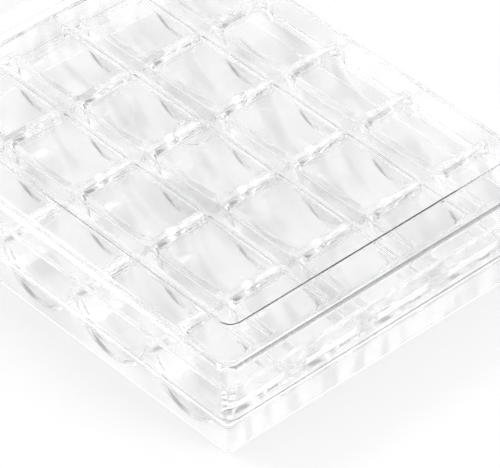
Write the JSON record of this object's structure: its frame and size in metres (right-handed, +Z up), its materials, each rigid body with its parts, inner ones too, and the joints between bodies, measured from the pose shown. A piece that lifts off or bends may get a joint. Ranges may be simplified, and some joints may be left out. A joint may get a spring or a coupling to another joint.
{
  "type": "bobbin storage box",
  "caption": "Clear plastic box with rows of half-round pockets for sewing bobbins and a deep lift-off lid.",
  "frame": {"origin": "centre of the footprint, on the surface that the box stands on", "axes": "+X along the pocket rows (the long side), +Y across the rows, +Z up, the way the lid lifts off"},
  "size_m": [0.1262, 0.1042, 0.0254],
  "materials": {
    "tray_clear": "water-clear moulded polystyrene, gloss",
    "lid_clear": "water-clear moulded polystyrene, gloss"
  },
  "bodies": {
    "tray": {"tray_wall": "tray_clear", "pocket_row_1": "tray_clear", "pocket_row_2": "tray_clear", "pocket_row_3": "tray_clear", "pocket_row_4": "tray_clear", "pocket_row_5": "tray_clear", "row_bridge_1": "tray_clear", "row_bridge_2": "tray_clear", "row_bridge_3": "tray_clear", "row_bridge_4": "tray_clear"},
    "lid": {"lid": "lid_clear"}
  },
  "joints": [
    {"name": "lid_lift", "type": "slide", "parent": "tray", "child": "lid", "axis": [0, 0, 1], "range_m": [0, 0.045]}
  ]
}
